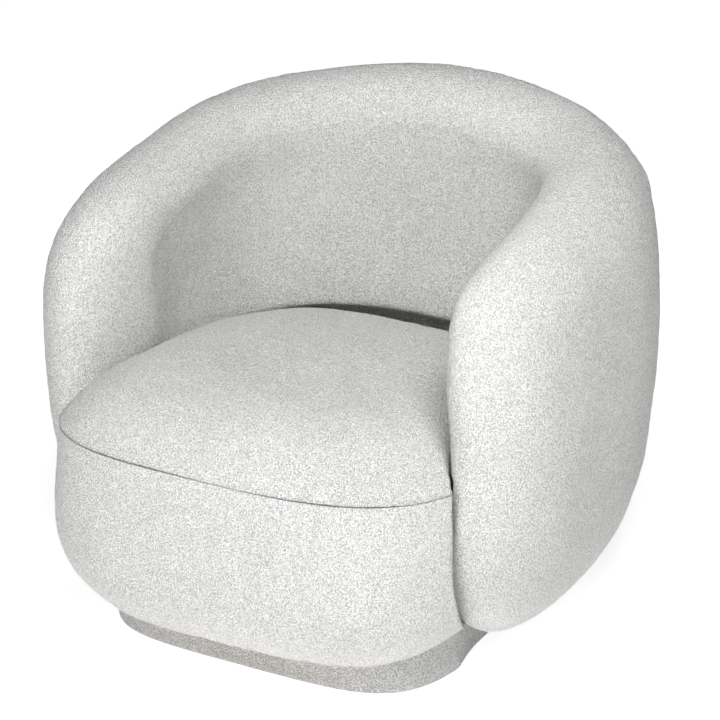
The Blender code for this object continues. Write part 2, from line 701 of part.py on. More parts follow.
def build_seat_padding():
    low = SEAT_BOARD_BASE + BOARD + GAP
    foam_base = PAD_BASE + PAD_THICK + GAP
    board("spring_pad", seat_frame_ring(-PAD_INSET), PAD_BASE, PAD_BASE + PAD_THICK, FELT)
    inset = COVER + LOOSE
    foot = tightest([drum_ring(t, inset + LOOSE) for t in DRUM_LEVELS[:2]])
    outer = [lift(foot, low)] + [drum_ring(t, inset) for t in DRUM_LEVELS[1:4]]
    outer.append(drum_wall(foam_base - GAP, inset))
    inner = [lift(seat_frame_ring(FRAME_ROOM), z) for z in (foam_base - GAP, low)]
    side = loft("seat_side_foam", outer + inner, FOAM, "join")
    plan = drum_wall(foam_base, inset)
    rings = [lift(inset_ring(plan, SEAT_CENTRE_Y, 0, 0.05), foam_base), plan]
    rings.append(drum_ring(1.0, inset) - (0, 0, LOOSE))
    rings += [crown_ring(s, inset) for s in SEAT_SHARES[-2::-1]]
    loft("seat_foam", rings, FOAM, "cap", 2)
    return side


# ---------------------------------------------------------------- plinth
def plinth_ring(inset):
    ring = plan_ring(PLINTH_CENTRE_Y, PLINTH_HALF_WIDTH, PLINTH_HALF_FRONT, PLINTH_HALF_REAR,
                     (PLINTH_SQUARENESS, PLINTH_SQUARENESS), 0.0, PLINTH_TOP, SEAT_CLEARANCE)
    return inset_ring(ring, PLINTH_CENTRE_Y, inset)


def build_plinth():
    foot = PLINTH_FOOT + GAP
    board_low = PLINTH_TOP - PLINTH_BOARD
    half_x, front, rear = PLINTH_FRAME
    rings = [lift(plinth_ring(i), z) for i, z in PLINTH_FACE + PLINTH_LINING]
    loft("plinth_cover", rings, BOUCLE, "join", len(PLINTH_FACE))
    rail_low = PLINTH_PAD[0][1]
    high = board_low - GAP
    rings = [lift(plinth_ring(i), z) for i, z in PLINTH_PAD + [(PLINTH_PAD_INSET, high)]]
    rings += [lift(frame_ring(half_x, front, rear, FRAME_ROOM), z) for z in (high, rail_low)]
    loft("plinth_foam", rings, FOAM, "join")
    deck = board("plinth_top_board", plinth_ring(PLINTH_BOARD_INSET), board_low, PLINTH_TOP, PLYWOOD)
    board("plinth_dust_cover", plinth_ring(DUST_CLOTH_INSET), foot, foot + DUST_CLOTH_THICK, DUST_CLOTH)
    box("plinth_front_rail", (-half_x, front, rail_low), (half_x, front + BOARD, high), TIMBER)
    box("plinth_rear_rail", (-half_x, rear - BOARD, rail_low), (half_x, rear, high), TIMBER)
    for hand, sign in (("left", 1), ("right", -1)):
        edges = sorted((sign * half_x, sign * (half_x - BOARD)))
        box("plinth_side_rail_" + hand, (edges[0], front + BOARD + GAP, rail_low),
            (edges[1], rear - BOARD - GAP, high), TIMBER)
        for end, y in (("front", front + BOARD), ("rear", rear - BOARD)):
            place = Matrix.Translation((sign * (half_x - BOARD), y, 0))
            steps = [(GLIDE_RADIUS - 0.002, 0.0), (GLIDE_RADIUS, 0.0015), (GLIDE_RADIUS, PLINTH_FOOT)]
            turned("glide_%s_%s" % (end, hand), steps, place, NYLON, 16)
    return deck


# ---------------------------------------------------------------- bolts
def bolt(name, place, length):
    """Hexagon-headed bolt along the matrix's Z, head at its origin."""
    head = HEAD_RADIUS
    shank = BOLT_RADIUS
    steps = [(head, -HEAD_HEIGHT), (head, 0.0), (shank, 0.0), (shank, length)]
    turned(name, steps, place, ZINC, 6)


def build_bolts(plinth_board, seat_board, side_rails, boxing, side_foam, wrap, posts):
    top = SEAT_BOARD_BASE + BOARD + GAP
    length = top - PLINTH_TOP + PLINTH_BOARD + PLINTH_BOLT_END
    down = Matrix.Rotation(math.pi, 4, "X")
    for hand, sign in (("left", 1), ("right", -1)):
        for end, y in zip(("front", "rear"), PLINTH_BOLT_Y):
            place = Matrix.Translation((sign * PLINTH_BOLT_X, y, top)) @ down
            name = "plinth_bolt_%s_%s" % (end, hand)
            bolt(name, place, length)
            drill([plinth_board, seat_board], name, place, length + HOLE_EXTRA)
        outward = Matrix.Rotation(sign * math.pi / 2, 4, "Y")
        x = FRAME_HALF_WIDTH - RAIL - GAP
        for label in ("side", "front"):
            y = wrap_point(POSTS[label], WRAP_BOLT_Z, 0.0)[1]
            place = Matrix.Translation((sign * x, y, WRAP_BOLT_Z)) @ outward
            name = "wrap_bolt_%s_%s" % (label, hand)
            bolt(name, place, WRAP_BOLT_LENGTH)
            cut = [side_rails[hand], boxing, side_foam, *wrap, posts[label, hand]]
            drill(cut, name, place, WRAP_BOLT_LENGTH + HOLE_EXTRA)


def main():
    covers, posts = build_wrap()
    boxing = build_seat_covers()
    seat_board, side_rails = build_seat_frame()
    build_springs()
    side_foam = build_seat_padding()
    plinth_board = build_plinth()
    build_bolts(plinth_board, seat_board, side_rails, boxing, side_foam, covers["inside_back"], posts)
    for obj in bpy.context.scene.collection.objects:
        obj.location.y -= DEPTH_CENTRE


main()
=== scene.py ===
"""The look of an upholstered tub armchair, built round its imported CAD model.

Every padded piece is made again here as fine geometry, close to its CAD solid, and covered
in cream boucle. The frame, springs and bolts inside keep their CAD shapes and get their own
finishes. Units are metres, in the CAD frame: the sitter faces -Y and +Z is up.
"""

import json
import math

import bmesh
import bpy
import numpy as np
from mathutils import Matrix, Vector, kdtree, noise


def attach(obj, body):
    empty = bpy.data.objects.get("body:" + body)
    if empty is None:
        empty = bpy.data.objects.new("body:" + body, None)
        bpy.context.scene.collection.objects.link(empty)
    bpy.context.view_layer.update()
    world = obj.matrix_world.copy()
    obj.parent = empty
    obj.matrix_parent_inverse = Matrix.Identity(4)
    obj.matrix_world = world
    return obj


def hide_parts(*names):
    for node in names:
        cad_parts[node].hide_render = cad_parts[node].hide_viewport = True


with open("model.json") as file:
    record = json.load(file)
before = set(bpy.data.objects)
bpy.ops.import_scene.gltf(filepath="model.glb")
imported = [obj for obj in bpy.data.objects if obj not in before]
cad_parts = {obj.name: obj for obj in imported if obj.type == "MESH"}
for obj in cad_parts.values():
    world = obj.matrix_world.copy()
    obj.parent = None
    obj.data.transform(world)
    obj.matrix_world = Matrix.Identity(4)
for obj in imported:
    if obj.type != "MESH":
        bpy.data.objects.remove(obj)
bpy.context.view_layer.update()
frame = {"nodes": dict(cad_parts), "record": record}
BODY = "root"

# ---------------------------------------------------------------- the chair's dimensions
# Most are the CAD model's. The seat's clearance and opening, the drum's foot and the plinth's
# face were fitted further to the photo, and differ from it by up to 18 mm.
DEPTH_CENTRE = 0.0003       # the plans below are drawn this far to the rear of the frame

# Wrap: a sheet of padding bent round the seat. A place on it is (a, z), where a runs from
# 0 at the middle of the back to 1 at the front of an arm, and z is the height.
WRAP_RADIUS_X = 0.3535      # half width of the wrap's middle surface
WRAP_RADIUS_Y = 0.3610      # its reach to the rear
WRAP_SQUARENESS = 2.642     # exponent of its plan, 2 being an ellipse
WRAP_SWEEP = math.radians(128.0)    # angle from the middle of the back to an arm's front
WRAP_LENGTH = WRAP_RADIUS_X * WRAP_SWEEP        # metres per unit of a
WRAP_WAIST = 0.333          # height where the middle surface stands upright
WRAP_LEAN = (0.0587, 0.021)         # outward lean above the waist, at the back and arms
WRAP_BARREL = (0.356, 0.6226)       # how fast it curls in above and below the waist
WRAP_OUTLINE = [            # (a, z) of one half, from the top of the back round the arm
    (0.0, 0.702),
    (0.33, 0.6765),
    (0.64, 0.642),
    (0.967, 0.559),
    (1.0, 0.325),
    (0.982, 0.1355),
    (0.87, 0.0495),
    (0.4, 0.0335),
    (0.0, 0.0335),
]
INSIDE_PAD = (0.0941, 0.0696)       # padding inside the middle surface, back and arms
OUTSIDE_PAD = (0.0496, 0.0662)      # padding outside it
INSIDE_ROUND = (0.0727, 0.0888)     # edge rounding depth at the top and the bottom
OUTSIDE_ROUND = (0.0834, 0.1889)
FRONT_ROUND = 0.151         # edge rounding depth at the arm fronts
ROUND_SPAN = 0.303          # height over or under the waist where that gives way to the others
ARM_TUCK = 0.0147           # how the arm fronts turn in towards the seat
ARM_TUCK_START = 0.6        # a where the arm fronts begin to turn in
SPINE_REACH = 0.72          # a of the outline rays' last centre

# Seat block, a drum under a crowned top
SEAT_CENTRE_Y = -0.1274
SEAT_HALF_WIDTH = 0.3175
SEAT_HALF_FRONT = 0.2771
SEAT_HALF_REAR = 0.4028
SEAT_SQUARENESS = (3.00, 2.77)      # exponents of the plan's front and rear
SEAT_BASE = 0.0629          # foot of the drum
SEAM_HEIGHT = 0.3045
SEAM_RISE_FRONT = 0.0187
SEAM_DROP_REAR = 0.0023
CROWN_HEIGHT = 0.4003
CROWN_FALL = 0.0196         # how far the seat's top slopes down to the rear
CROWN_POWER = (5.17, 4.79, 4.22)    # fall of the crown to the front, sides and rear
DRUM_BULGE = 0.008
DRUM_ROUND = 0.1337         # radius that turns the drum in at its foot
DRUM_ROUND_BASE = 0.0327
FRONT_MARGIN = 0.003        # the squeeze of the arms goes on this far past their fronts
FRONT_OPENING = 17.6        # how fast the drum widens again past the arm fronts
SEAT_CLEARANCE = 0.0015     # seat to wrap
SQUEEZE_POWER = 24          # how sharply the plan turns on to the wrap's face

# Plinth
PLINTH_CENTRE_Y = -0.0077
PLINTH_HALF_WIDTH = 0.2582
PLINTH_HALF_FRONT = 0.2775
PLINTH_HALF_REAR = 0.25
PLINTH_SQUARENESS = 4.66
PLINTH_TOP = 0.077
PLINTH_FACE = [             # (distance in from the plinth's outline, height), going up
    (-0.0007, 0.0014),
    (-0.0097, 0.0018),
    (-0.011, 0.005),
    (-0.0099, 0.012),
    (-0.0072, 0.024),
    (-0.0043, 0.038),
    (-0.0014, 0.052),
    (0.0008, 0.064),
    (0.004, 0.0705),
    (0.009, 0.0745),
    (0.016, 0.0768),
    (0.024, 0.0775),
]

# ---------------------------------------------------------------- the camera
CAMERA_TARGET = Vector((0.0, -DEPTH_CENTRE, 0.3333))
CAMERA_AZIMUTH = math.radians(30.321)
CAMERA_ELEVATION = math.radians(21.811)
CAMERA_DISTANCE = 4.450
CAMERA_LENS = 156.52        # mm, on a sensor this wide
CAMERA_SENSOR = 36.0
CAMERA_SHIFT = (0.0155, 0.0204)

# ---------------------------------------------------------------- fine detail
GROOVE_DEPTH = 0.0032       # of the seam round the rear panel
GROOVE_WIDTH = 0.0034
GROOVE_ROWS = (-2.4, -1.2, -0.6, 0.0, 0.6, 1.2, 2.4)    # mesh rows at a groove, in its widths
PANEL_BEHIND = 0.043        # top seam of the rear panel, behind the wrap's outline
PANEL_SIDE = 0.42           # a of its side seams
PANEL_CORNER = 0.02         # radius of its upper corners
PANEL_SWELL = 0.005         # how far the panel swells out past its seam
PANEL_SWELL_REACH = 0.03    # and how far in from the seam it takes to do so
FOLD_TOP = 0.332            # the inside back folds under behind the seat, from here
FOLD_FOOT = 0.315           # down to here
FOLD_DEPTH = (0.040, 0.015)  # and this far, in the back and in the arms
FOLD_HOLLOW = (0.25, 0.17)  # heights between which the hollow under it fills up again
ARM_SWELL = 0.015           # fullness of the inside of the arms, and where it is greatest
ARM_SWELL_PLACE = (0.90, 0.40)
ARM_SWELL_SIZE = (0.13, 0.10)
REAR_GAP = 0.009            # extra room between the seat and the back
SEAM_ROLL = (               # (distance in, distance from the seam) as a cover turns into it
    (0.0, 0.0026),
    (0.0004, 0.0014),
    (0.0013, 0.0008),
    (0.0028, 0.0005),
    (0.0050, 0.0003),
    (0.0080, 0.0002),
)
DRUM_HEM = ((0.016, 0.0012), (0.008, 0.0014), (0.002, 0.0008))     # (in, drop) of its foot
RELIEF = ((0.20, 0.0026), (0.06, 0.0012), (0.009, 0.0011))     # (size, height) of unevenness
ROUGHEN_FADE = 0.012        # the unevenness fades out this near an open edge
RIM_CROWDING = 1.25         # how much closer mesh rows are near a rim or seam
COLUMNS = 116               # mesh columns of the back, and those round an arm's front
FAN = 128
RINGS = 62                  # mesh rows of the wrap's faces
SEAT_SIDES = 400            # points round the seat, and rows of its drum and its crown
DRUM_RINGS = 62
CROWN_RINGS = 66
MERGE_DISTANCE = 0.00002    # points nearer than this become one
SHORTEST_EDGE = 0.00001

# ---------------------------------------------------------------- cover, stage and lights
YARN_SCALE = 470.0          # curls per metre
YARN_BEND = 0.0016          # how far the curls wander
YARN_PIT_SHADE = (0.50, 0.493, 0.485)     # colours between the curls, darkened there as painted shade, and on them
YARN_COLOUR = (1.0, 0.996, 0.988)
YARN_FLECK = (0.60, 0.51, 0.42)     # and of the few warm flecks
YARN_SPREAD = (0.55, 1.40)  # heights of the pits and of the curls
YARN_BUMP = 1.0
YARN_RELIEF = 0.0022        # height of the curls
FLOOR_SIZE = 40.0
FLOOR_GLOW = (0.68, 0.88)   # under the chair and far from it
FLOOR_SWEEP = (0.5, 1.7)    # distances between which the one gives way to the other
SKY = 0.05                  # strength of the even light from all round
LIGHT_AIM = Vector((0, 0, 0.35))
LIGHTS = (                  # name, place, size and power
    ("front", (0.4, -4.0, 1.2), (1.8, 1.4), 60.0),
    ("over_camera", (1.6, -2.6, 3.2), (2.4, 2.0), 26.0),
    ("over_seat", (0.7, -0.9, 2.0), (1.2, 0.9), 44.0),
)


# ---------------------------------------------------------------- the wrap's geometry
def superellipse(angle, power):
    """Unit superellipse at the given angles, as cosine-like and sine-like parts."""
    c, s = np.cos(angle), np.sin(angle)
    reach = (np.abs(c) ** power + np.abs(s) ** power) ** (-1.0 / power)
    return c * reach, s * reach


def closed_curve(points, steps):
    """Smooth closed curve through points of (a, z), by centripetal Catmull-Rom."""
    p = np.asarray(points, float)
    spans = np.linalg.norm((np.roll(p, -1, 0) - p) * (WRAP_LENGTH, 1.0), axis=1) ** 0.5
    t = np.linspace(0, 1, steps, endpoint=False)[:, None]
    parts = []
    for i in range(len(p)):
        p0, p1, p2, p3 = (p[(i + k) % len(p)] for k in (-1, 0, 1, 2))
        t0, t1, t2 = (spans[(i + k) % len(p)] for k in (-1, 0, 1))
        m1 = p2 - p1 + t1 * ((p1 - p0) / t0 - (p2 - p0) / (t0 + t1))
        m2 = p2 - p1 + t1 * ((p3 - p2) / t2 - (p3 - p1) / (t1 + t2))
        cubic = 2 * (p1 - p2) + m1 + m2
        square = 3 * (p2 - p1) - 2 * m1 - m2
        parts.append(cubic * t ** 3 + square * t ** 2 + m1 * t + p1)
    return np.concatenate(parts)


def half_outline():
    """Fine points of the outline's a >= 0 half, from the top to the bottom of the back."""
    steps = 60
    mirrored = [(-a, z) for a, z in WRAP_OUTLINE[-2:0:-1]]
    curve = closed_curve(WRAP_OUTLINE + mirrored, steps)
    return curve[:(len(WRAP_OUTLINE) - 1) * steps + 1]


def outline_rays(columns, fan):
    """Rays from the spine to the outline: end point (a, z), start a, length and slope."""
    half = half_outline()
    tip = half[:, 0].argmax()
    upper, lower = half[:tip + 1], half[tip:][::-1]
    a = np.linspace(0, SPINE_REACH, columns)
    z_up = np.interp(a, upper[:, 0], upper[:, 1])
    z_low = np.interp(a, lower[:, 0], lower[:, 1])
    spokes = (half - (SPINE_REACH, WRAP_WAIST)) * (WRAP_LENGTH, 1.0)
    near = half[:, 0] >= SPINE_REACH - 0.02
    bearing = np.arctan2(spokes[near, 1], spokes[near, 0])
    reach = np.linalg.norm(spokes[near], axis=1)
    order = np.argsort(bearing)
    angle = np.linspace(math.pi / 2, -math.pi / 2, fan + 2)[1:-1]
    spoke = np.interp(angle, bearing[order], reach[order])
    fan_a = SPINE_REACH + spoke * np.cos(angle) / WRAP_LENGTH
    fan_z = WRAP_WAIST + spoke * np.sin(angle)
    ends = np.column_stack([np.r_[a, fan_a, a[::-1]], np.r_[z_up, fan_z, z_low[::-1]]])
    starts = np.r_[a, np.full(fan, SPINE_REACH), a[::-1]]
    flat = ends * (WRAP_LENGTH, 1.0)
    along = np.gradient(flat, axis=0)
    along /= np.linalg.norm(along, axis=1, keepdims=True)
    ray = flat - np.column_stack([starts * WRAP_LENGTH, np.full(len(starts), WRAP_WAIST)])
    length = np.linalg.norm(ray, axis=1)
    slope = np.abs(ray[:, 1] * along[:, 0] - ray[:, 0] * along[:, 1]) / length
    return ends, starts, length, slope


def back_to_arm(a):
    """0 at the middle of the back, 1 at the arm fronts."""
    return np.clip(np.abs(a), 0, 1) ** 1.5


def mix(pair, share):
    return pair[0] + (pair[1] - pair[0]) * share


def edge_spread(edge_z, inside):
    """How deep the edge's rounding goes, for a place whose nearest edge is at edge_z."""
    rounds = INSIDE_ROUND if inside else OUTSIDE_ROUND
    high = np.clip((edge_z - WRAP_WAIST) / ROUND_SPAN, -1, 1)
    edge = np.where(high > 0, rounds[0], rounds[1])
    return edge * np.abs(high) + FRONT_ROUND * (1 - np.abs(high))


def pad_height(a, depth, edge_z, inside):
    """Padding over the middle surface, rounded down to nothing at the outline."""
    thick = mix(INSIDE_PAD if inside else OUTSIDE_PAD, back_to_arm(a))
    share = np.clip(depth / edge_spread(edge_z, inside), 0, 1)
    return thick * np.sqrt(1 - (1 - share) ** 2)


def inside_height(a, z, depth, edge_z):
    """Padding inside the middle surface, fuller low in the arms."""
    across = (np.abs(a) - ARM_SWELL_PLACE[0]) / ARM_SWELL_SIZE[0]
    upward = (z - ARM_SWELL_PLACE[1]) / ARM_SWELL_SIZE[1]
    extra = ARM_SWELL * np.exp(-across ** 2 - upward ** 2)
    full = mix(INSIDE_PAD, back_to_arm(a))
    return pad_height(a, depth, edge_z, True) * (1 + extra / full)


def smooth_step(t):
    """0 up to t = 0 and 1 from t = 1 on, with a soft start and end."""
    t = np.clip(t, 0, 1)
    return t * t * (3 - 2 * t)


def undercut(a, z):
    """How far the inside back falls away behind the seat, below its lowest fold."""
    below = smooth_step((FOLD_TOP - z) / (FOLD_TOP - FOLD_FOOT))
    above = smooth_step((z - FOLD_HOLLOW[1]) / (FOLD_HOLLOW[0] - FOLD_HOLLOW[1]))
    return mix(FOLD_DEPTH, back_to_arm(a)) * below * above


def middle_shift(a, z):
    """How far the middle surface stands out from the plan at its waist."""
    share = back_to_arm(a)
    rise = z - WRAP_WAIST
    tuck = ARM_TUCK * np.clip(np.abs(a) - ARM_TUCK_START, 0, 1) ** 2
    return mix(WRAP_LEAN, share) * rise - mix(WRAP_BARREL, share) * rise ** 2 - tuck


def wrap_point(a, z, offset):
    """World place of (a, z) at an offset from the middle surface, positive outside."""
    c, s = superellipse(a * WRAP_SWEEP, WRAP_SQUARENESS)
    out = middle_shift(a, z) + offset
    x, y = (WRAP_RADIUS_X + out) * s, (WRAP_RADIUS_Y + out) * c - DEPTH_CENTRE
    return np.stack([x, y, z + 0 * a], -1)


def inner_ratio(x, y, z, clearance):
    """Above 1 where (x, y, z) lies beyond the wrap's inside face."""
    columns, fan_count = 60, 40
    a = np.abs(np.arctan2(x / WRAP_RADIUS_X, y / WRAP_RADIUS_Y)) / WRAP_SWEEP
    z = np.broadcast_to(z, a.shape)
    ends, starts, length, slope = outline_rays(columns, fan_count)
    cols = slice(0, columns)
    foot = slice(len(ends) - columns, len(ends))
    up = z >= WRAP_WAIST
    edge_z = np.where(up, np.interp(a, starts[cols], ends[cols, 1]),
                      np.interp(a, starts[foot][::-1], ends[foot, 1][::-1]))
    steep = np.where(up, np.interp(a, starts[cols], slope[cols]),
                     np.interp(a, starts[foot][::-1], slope[foot][::-1]))
    column_depth = np.where(up, edge_z - z, z - edge_z) * steep
    fan = slice(columns - 1, len(ends) - columns + 1)
    spokes = (ends[fan] - (SPINE_REACH, WRAP_WAIST)) * (WRAP_LENGTH, 1.0)
    bearing = np.arctan2(spokes[:, 1], spokes[:, 0])[::-1]
    angle = np.arctan2(z - WRAP_WAIST, (a - SPINE_REACH) * WRAP_LENGTH)
    away = np.hypot((a - SPINE_REACH) * WRAP_LENGTH, z - WRAP_WAIST)
    fan_depth = (np.interp(angle, bearing, length[fan][::-1]) - away)
    fan_depth = fan_depth * np.interp(angle, bearing, slope[fan][::-1])
    in_columns = a <= SPINE_REACH
    depth = np.where(in_columns, column_depth, fan_depth)
    edge_z = np.where(in_columns, edge_z, np.interp(angle, bearing, ends[fan, 1][::-1]))
    pad = inside_height(a, z, np.maximum(depth, 0), edge_z)
    past = np.maximum(-depth - FRONT_MARGIN, 0)
    out = middle_shift(a, z) - pad - clearance + FRONT_OPENING * past
    ratio = (np.abs(x) / (WRAP_RADIUS_X + out)) ** WRAP_SQUARENESS
    ratio = ratio + (np.abs(y) / (WRAP_RADIUS_Y + out)) ** WRAP_SQUARENESS
    return ratio ** (1 / WRAP_SQUARENESS)


# ---------------------------------------------------------------- plan of the seat block
SEAT_ANGLE = np.linspace(0, 2 * math.pi, SEAT_SIDES, endpoint=False)
FRONTNESS = np.clip(-np.sin(SEAT_ANGLE), 0, 1)
REARNESS = np.clip(np.sin(SEAT_ANGLE), 0, 1)


def seat_clearance():
    """Room between the seat and the wrap, wider behind the seat."""
    return SEAT_CLEARANCE + REAR_GAP * REARNESS


def squeeze(x, y, z, clearance):
    """Pull plan points in to the wrap's inside face."""
    ratio = inner_ratio(x, y, z, clearance)
    keep = (1 + ratio ** SQUEEZE_POWER) ** (-1 / SQUEEZE_POWER)
    return np.column_stack([x * keep, y * keep - DEPTH_CENTRE])


def plan_ring(centre_y, half_width, half_front, half_rear, powers, grow, z, clearance):
    front = superellipse(SEAT_ANGLE, powers[0])
    rear = superellipse(SEAT_ANGLE, powers[1])
    is_front = np.sin(SEAT_ANGLE) < 0
    c = np.where(is_front, front[0], rear[0])
    s = np.where(is_front, front[1], rear[1])
    half = np.where(is_front, half_front, half_rear)
    x, y = (half_width + grow) * c, centre_y + (half + grow) * s
    if clearance is None:
        return np.column_stack([x, y])
    return squeeze(x, y, z, clearance)


def inset_ring(ring, centre_y, inset, share=1.0):
    """Move a plan ring towards its centre by a distance, then scale it by a share."""
    middle = (0, centre_y - DEPTH_CENTRE)
    arm = np.asarray(ring)[:, :2] - middle
    length = np.linalg.norm(arm, axis=1, keepdims=True)
    return middle + arm * (1 - inset / length) * share


def lift(ring, z):
    ring = np.asarray(ring)[:, :2]
    return np.column_stack([ring, np.broadcast_to(z, len(ring))])


def seam_z():
    """Height of the seam round the seat's top edge."""
    return SEAM_HEIGHT + SEAM_RISE_FRONT * FRONTNESS - SEAM_DROP_REAR * REARNESS


def crown_z(share):
    """Height of the seat's top at a share of the way out to the seam."""
    front, side, rear = CROWN_POWER
    power = side + (front - side) * FRONTNESS ** 2 + (rear - side) * REARNESS ** 2
    drop = (seam_z() - SEAM_HEIGHT) * share ** 2 - CROWN_FALL * REARNESS * share
    return SEAM_HEIGHT + (CROWN_HEIGHT - SEAM_HEIGHT) * (1 - share ** power) + drop


def drum_ring(level, inset=0.0):
    """Ring of the drum's wall; level is 0 at its foot and 1 at the seam."""
    z = SEAT_BASE + (seam_z() - SEAT_BASE) * level
    height = np.mean(z)
    grow = DRUM_BULGE * math.sin(math.pi * level)
    lift_left = height - DRUM_ROUND_BASE
    if lift_left < DRUM_ROUND:
        grow -= DRUM_ROUND - math.sqrt(DRUM_ROUND ** 2 - (DRUM_ROUND - lift_left) ** 2)
    ring = plan_ring(SEAT_CENTRE_Y, SEAT_HALF_WIDTH, SEAT_HALF_FRONT, SEAT_HALF_REAR,
                     SEAT_SQUARENESS, grow, height, seat_clearance())
    return lift(inset_ring(ring, SEAT_CENTRE_Y, inset), z)


# ---------------------------------------------------------------- meshes
def grid_mesh(name, rings, closed):
    """Quads between rows of points; closed joins the last point of each row to the first."""
    rows, count = len(rings), len(rings[0])
    verts = np.concatenate(rings)
    low = np.arange(rows - 1)[:, None] * count
    j = np.arange(count if closed else count - 1)[None, :]
    k = (j + 1) % count
    faces = np.stack([low + j, low + k, low + count + k, low + count + j], -1).reshape(-1, 4)
    mesh = bpy.data.meshes.new(name)
    mesh.from_pydata(verts.tolist(), [], faces.tolist())
    bm = bmesh.new()
    bm.from_mesh(mesh)
    bmesh.ops.remove_doubles(bm, verts=bm.verts, dist=MERGE_DISTANCE)
    bmesh.ops.dissolve_degenerate(bm, dist=SHORTEST_EDGE, edges=bm.edges)
    bm.to_mesh(mesh)
    bm.free()
    mesh.shade_smooth()
    obj = bpy.data.objects.new(name, mesh)
    bpy.context.scene.collection.objects.link(obj)
    return obj


def arc_of(depth, spread):
    """Distance round the rounded edge, and on over the flat beyond it, to a depth."""
    return spread * np.arccos(1 - np.clip(depth / spread, 0, 1)) + np.maximum(depth - spread, 0)


def depth_of(arc, spread):
    turn = spread * math.pi / 2
    edge = spread * (1 - np.cos(np.minimum(arc, turn) / spread))
    return np.where(arc < turn, edge, spread + arc - turn)


def panel_distance(a, z, depth):
    """How far a place on the outside face is inside the rear panel's seam."""
    side = (PANEL_SIDE - np.abs(a)) * WRAP_LENGTH
    top = np.where(z > WRAP_WAIST, depth - PANEL_BEHIND, 1.0)
    beyond = np.hypot(np.maximum(PANEL_CORNER - side, 0), np.maximum(PANEL_CORNER - top, 0))
    return PANEL_CORNER + np.maximum(np.minimum(side, top) - PANEL_CORNER, 0) - beyond


def panel_relief(distance):
    """The rear panel's groove at its seam, and its swell inside that."""
    groove = GROOVE_DEPTH * np.exp(-(distance / GROOVE_WIDTH) ** 2)
    swell = np.clip(distance / PANEL_SWELL_REACH, 0, 1)
    return PANEL_SWELL * swell * (2 - swell) - groove


def wrap_rings(inside):
    """Rows of the wrap's inside or outside face from the rim towards the spine."""
    ends, starts, length, slope = outline_rays(COLUMNS, FAN)
    full = length * slope
    spread = edge_spread(ends[:, 1], inside)
    far = arc_of(full, spread)
    arcs = [far * t for t in np.linspace(0, 1, RINGS) ** RIM_CROWDING]
    if not inside:
        seam = arc_of(PANEL_BEHIND, spread)
        arcs += [seam + GROOVE_WIDTH * k for k in GROOVE_ROWS]
        arcs = list(np.sort(np.array(arcs), axis=0))
    rows = []
    for arc in arcs:
        depth = depth_of(arc, spread)
        reach = 1 - depth / full
        a = starts + (ends[:, 0] - starts) * reach
        z = WRAP_WAIST + (ends[:, 1] - WRAP_WAIST) * reach
        if inside:
            offset = undercut(a, z) - inside_height(a, z, depth, ends[:, 1])
        else:
            offset = pad_height(a, depth, ends[:, 1], False)
            offset = offset + panel_relief(panel_distance(a, z, depth))
        right = wrap_point(a, z, offset)
        left = right[::-1] * (-1, 1, 1)
        rows.append(np.concatenate([right[1:-1], left]))
    return rows


def build_wrap():
    inside = grid_mesh("inside_back", wrap_rings(True), True)
    outside = grid_mesh("outside_back", wrap_rings(False), True)
    return inside, outside


def seam_rows(ring, centre_y, z, up):
    """Rows that roll a cover into the groove of the seam at ring; up is 1 above it."""
    rows = []
    for inset, rise in SEAM_ROLL:
        rows.append(lift(inset_ring(ring, centre_y, inset), z + up * rise))
    return rows


def build_seat():
    levels = np.linspace(0, 1, DRUM_RINGS)
    hem = [drum_ring(0.0, inset) - (0, 0, drop) for inset, drop in DRUM_HEM]
    walls = [drum_ring(t) for t in levels[:-2]]
    top_ring = drum_ring(1.0)
    drum_rows = hem + walls + seam_rows(top_ring, SEAT_CENTRE_Y, top_ring[:, 2], -1)
    drum = grid_mesh("seat_drum", drum_rows, True)
    rim = plan_ring(SEAT_CENTRE_Y, SEAT_HALF_WIDTH, SEAT_HALF_FRONT, SEAT_HALF_REAR,
                    SEAT_SQUARENESS, 0.0, SEAM_HEIGHT, None) - (0, SEAT_CENTRE_Y)
    rows = seam_rows(top_ring, SEAT_CENTRE_Y, top_ring[:, 2], 1)[::-1]
    start = 1 - SEAM_ROLL[0][1] / SEAT_HALF_FRONT
    for share in start * (1 - np.linspace(0.0, 1.0, CROWN_RINGS) ** RIM_CROWDING):
        x, y = (rim * share + (0, SEAT_CENTRE_Y)).T
        z = crown_z(share)
        rows.append(lift(squeeze(x, y, z, seat_clearance()), z))
    crown = grid_mesh("seat_crown", rows, True)
    return drum, crown


def build_plinth():
    base = plan_ring(PLINTH_CENTRE_Y, PLINTH_HALF_WIDTH, PLINTH_HALF_FRONT, PLINTH_HALF_REAR,
                     (PLINTH_SQUARENESS, PLINTH_SQUARENESS), 0.0, PLINTH_TOP, SEAT_CLEARANCE)
    rows = [lift(inset_ring(base, PLINTH_CENTRE_Y, i), z) for i, z in PLINTH_FACE]
    return grid_mesh("plinth_skirt", rows, True)


def edge_distance(mesh, place):
    """Each point's distance to the nearest open edge of its mesh, up to ROUGHEN_FADE."""
    bm = bmesh.new()
    bm.from_mesh(mesh)
    rim = [v.co.copy() for v in bm.verts if v.is_boundary]
    bm.free()
    tree = kdtree.KDTree(len(rim))
    for i, point in enumerate(rim):
        tree.insert(point, i)
    tree.balance()
    return np.array([min(tree.find(p)[2], ROUGHEN_FADE) for p in place])


